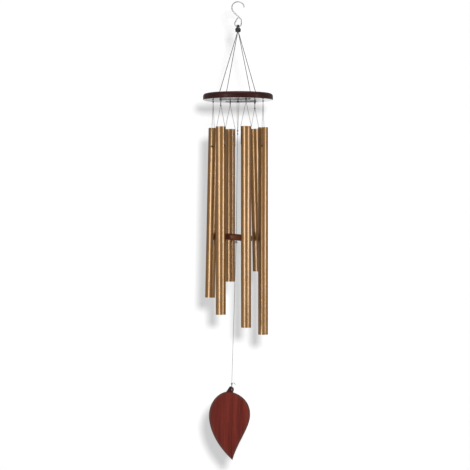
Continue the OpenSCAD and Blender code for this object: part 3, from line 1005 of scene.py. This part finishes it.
def leaf_mesh():
    outline = leaf_outline()
    shares = rim_shares(outline)
    mesh = bmesh.new()
    edge = mesh.verts.layers.float.new("edge")
    rings = []
    for distance, depth, darkness in edge_levels():
        ring = []
        for p in inset(outline, [distance * share for share in shares]):
            corner = mesh.verts.new(sail_at + Vector((p.x, depth, p.y)))
            corner[edge] = darkness
            ring.append(corner)
        rings.append(ring)
    count = len(outline)
    for lower, upper in zip(rings, rings[1:]):
        for i in range(count):
            j = (i + 1) % count
            mesh.faces.new((lower[i], lower[j], upper[j], upper[i]))
    mesh.faces.new(list(reversed(rings[0])))
    mesh.faces.new(rings[-1])
    bmesh.ops.recalc_face_normals(mesh, faces=mesh.faces)
    for face in mesh.faces:
        face.smooth = len(face.verts) == 4
    data = bpy.data.meshes.new("leaf_sail")
    mesh.to_mesh(data)
    mesh.free()
    return data


def drill(piece, at, diameter, depth):
    """Cuts a round hole along Y."""
    turn = Matrix.Translation(at) @ Matrix.Rotation(math.pi / 2, 4, "X")
    radius = diameter / 2
    mesh = bmesh.new()
    bmesh.ops.create_cone(
        mesh, cap_ends=True, segments=DRILL_SIDES, radius1=radius, radius2=radius,
        depth=2 * depth, matrix=turn,
    )
    data = bpy.data.meshes.new("drill")
    mesh.to_mesh(data)
    mesh.free()
    cutter = bpy.data.objects.new("drill", data)
    scene.collection.objects.link(cutter)
    cut = piece.modifiers.new("hole", "BOOLEAN")
    cut.operation = "DIFFERENCE"
    cut.solver = "EXACT"
    cut.object = cutter
    piece.data = plain_mesh(piece)
    bpy.data.objects.remove(cutter)


def leaf():
    """The leaf-shaped sail, with rounded edges and the hole through its stem."""
    piece = bpy.data.objects.new("leaf_sail", leaf_mesh())
    scene.collection.objects.link(piece)
    drill(piece, sail_at, STEM_HOLE, LEAF_T)
    piece.data.materials.clear()
    piece.data.materials.append(leaf_wood)
    place(piece, "sail", "red_wood", "sail")


def finish_solids():
    """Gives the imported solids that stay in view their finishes."""
    finishes = {"s_hook": bright_wire, "top_disc": disc_wood, "striker": striker_wood}
    finishes.update({f"tube_{k}": bronze for k in tube_numbers})
    for node, material in finishes.items():
        solid = frame["nodes"][node]
        solid.data.materials.clear()
        solid.data.materials.append(material)


# Stage: a pale floor, and a backdrop that renders white by its glow and the shadow lamp's light together
FLOOR_Z = -1.4
FLOOR_SIDE = 60.0
FLOOR_SHADE = 0.8
PAPER_MOTTLE = 0.02
BACKDROP_Y = 3.0
BACKDROP_HALF = 1.0
BACKDROP_TOP = 0.55
BACKDROP_FADE = 0.08
PAPER_GLOW = 0.53
PAPER_SHADE = 0.1
WHITE = (1, 1, 1, 1)


def floor_paper():
    made, tree, shader = new_material("floor_paper")
    grain = noise(tree, object_place(tree), scale=30.0, detail=3.0)
    dark = (FLOOR_SHADE * (1 - PAPER_MOTTLE),) * 3
    light = (FLOOR_SHADE * (1 + PAPER_MOTTLE),) * 3
    tree.links.new(mixed(tree, grain, opaque(dark), opaque(light)), shader.inputs["Base Color"])
    set_shader(shader, Roughness=0.9)
    return made


def seen_rays(tree):
    """1 for the rays of the camera, of reflections and of clear things, and 0 for the rest."""
    rays = add(tree, "ShaderNodeLightPath").outputs
    indirect = maths(tree, "MAXIMUM", rays["Is Glossy Ray"], rays["Is Transmission Ray"])
    return maths(tree, "MAXIMUM", rays["Is Camera Ray"], indirect)


def backdrop_edge(tree):
    """0 on the backdrop and 1 past its sides and top."""
    spot = split(tree, add(tree, "ShaderNodeTexCoord").outputs["Object"])
    across = maths(tree, "ABSOLUTE", spot["X"])
    side = ranged(tree, across, (BACKDROP_HALF - BACKDROP_FADE, BACKDROP_HALF))
    top = ranged(tree, spot["Z"], (BACKDROP_TOP - BACKDROP_FADE, BACKDROP_TOP))
    return maths(tree, "MAXIMUM", side, top)


def backdrop_paper():
    """White paper seen from the front only, that keeps the soft shadow and thins out at its edges."""
    made = bpy.data.materials.new("backdrop_paper")
    made.use_nodes = True
    tree = made.node_tree
    tree.nodes.clear()
    shade = opaque((PAPER_SHADE,) * 3)
    lit = add(tree, "ShaderNodeBsdfDiffuse", {"Color": shade}).outputs[0]
    strength = maths(tree, "MULTIPLY", seen_rays(tree), PAPER_GLOW)
    glow = add(tree, "ShaderNodeEmission", {"Color": WHITE, "Strength": strength}).outputs[0]
    front = add(tree, "ShaderNodeAddShader", {0: lit, 1: glow}).outputs[0]
    behind = add(tree, "ShaderNodeNewGeometry").outputs["Backfacing"]
    gone = maths(tree, "MAXIMUM", backdrop_edge(tree), behind)
    clear = add(tree, "ShaderNodeBsdfTransparent").outputs[0]
    shown = add(tree, "ShaderNodeMixShader", {0: gone, 1: front, 2: clear}).outputs[0]
    output = tree.nodes.new("ShaderNodeOutputMaterial")
    tree.links.new(shown, output.inputs["Surface"])
    return made


def sheet(name, corners, material):
    data = bpy.data.meshes.new(name)
    data.from_pydata(corners, [], [(0, 1, 2, 3)])
    made = bpy.data.objects.new(name, data)
    scene.collection.objects.link(made)
    made.data.materials.append(material)
    return made


def floor():
    half = FLOOR_SIDE / 2
    corners = [(-half, -half), (half, -half), (half, half), (-half, half)]
    sheet("floor", [(x, y, FLOOR_Z) for x, y in corners], floor_paper())


def backdrop():
    side = BACKDROP_HALF
    corners = [(-side, FLOOR_Z), (side, FLOOR_Z), (side, BACKDROP_TOP), (-side, BACKDROP_TOP)]
    return sheet("backdrop", [(x, BACKDROP_Y, z) for x, z in corners], backdrop_paper())


# Light: three softboxes, a lamp for the shadow on the backdrop, and the room
SHADOW_LAMP_AT = Vector(CAMERA_AT) + Vector((0.0344, 0, 0.0503))
SHADOW_LAMP_SIZE = 0.043
SHADOW_LAMP_POWER = 1790
AIM = Vector((0, 0, -0.42))
ROOM = 0.42
ROOM_TOP = 0.9
ABOVE = (0.25, 0.9)
BEHIND = (0.94, 0.985)


def softbox(name, azimuth, distance, height, width, tall, power):
    """An area light at an azimuth from the camera's axis, turned to the chime."""
    data = bpy.data.lights.new(name, "AREA")
    data.shape = "RECTANGLE"
    data.size = width
    data.size_y = tall
    data.energy = power
    lamp = bpy.data.objects.new(name, data)
    angle = math.radians(azimuth)
    lamp.location = (distance * math.sin(angle), -distance * math.cos(angle), height)
    aim = Vector((0, 0, height)) - lamp.location
    lamp.rotation_euler = aim.to_track_quat("-Z", "Z").to_euler()
    scene.collection.objects.link(lamp)
    return lamp


def softboxes():
    softbox("left_softbox", azimuth=-36, distance=2.0, height=-0.38, width=0.56, tall=1.1, power=12)
    softbox("right_softbox", azimuth=57, distance=2.0, height=-0.38, width=0.48, tall=1.1, power=9)
    above = softbox("overhead_softbox", azimuth=20, distance=0.7, height=1.2, width=1.2, tall=1.2, power=6)
    above.rotation_euler = (AIM - above.location).to_track_quat("-Z", "Y").to_euler()


def shadow_lamp(wall):
    """A small lamp beside the camera that lights the backdrop alone and throws the chime's shadow."""
    data = bpy.data.lights.new("shadow_lamp", "AREA")
    data.shape = "DISK"
    data.size = SHADOW_LAMP_SIZE
    data.energy = SHADOW_LAMP_POWER
    lamp = bpy.data.objects.new("shadow_lamp", data)
    lamp.location = SHADOW_LAMP_AT
    lamp.rotation_euler = LEVEL
    scene.collection.objects.link(lamp)
    only = bpy.data.collections.new("backdrop_only")
    only.objects.link(wall)
    lamp.light_linking.receiver_collection = only


def room():
    """An even room, pale above and white right behind the chime."""
    made = bpy.data.worlds.new("room")
    made.use_nodes = True
    tree = made.node_tree
    tree.nodes.clear()
    way = split(tree, add(tree, "ShaderNodeTexCoord").outputs["Generated"])
    above = ranged(tree, way["Z"], ABOVE, (0, ROOM_TOP))
    behind = ranged(tree, way["Y"], BEHIND)
    level = maths(tree, "MAXIMUM", maths(tree, "MAXIMUM", above, ROOM), behind)
    sky = add(tree, "ShaderNodeBackground", {"Color": WHITE, "Strength": level})
    output = tree.nodes.new("ShaderNodeOutputWorld")
    tree.links.new(sky.outputs[0], output.inputs["Surface"])
    scene.world = made


hook_loop()
crown_knot()
suspension_cord("front_suspension_cord", "suspension_cord_front", math.pi + CROWN_TURN)
suspension_cord("back_suspension_cord", "suspension_cord_back", CROWN_TURN)
stop_knots("stop_knots_of_tubes", "tube_stop_knots", [joint_at[f"tube_{k}_swing"] for k in tube_numbers])
stop_knots("stop_knot_of_centre", "centre_stop_knot", [centre_knot_at])
for tube in tube_numbers:
    swivel_knot(tube)
    hanger_cord(tube)
centre_knot()
centre_cord()
joining_knot("first_joining_knot", join_at, JOIN_KNOT)
joining_knot("second_joining_knot", second_join_at, SECOND_JOIN)
line_cord("striker_line", [second_join_at, striker_knot_at])
line_cord("sail_line", [striker_knot_at, sail_knot_at])
striker_knot()
sail_loop()
sail_knot()
leaf()
finish_solids()
floor()
shadow_lamp(backdrop())
softboxes()
room()
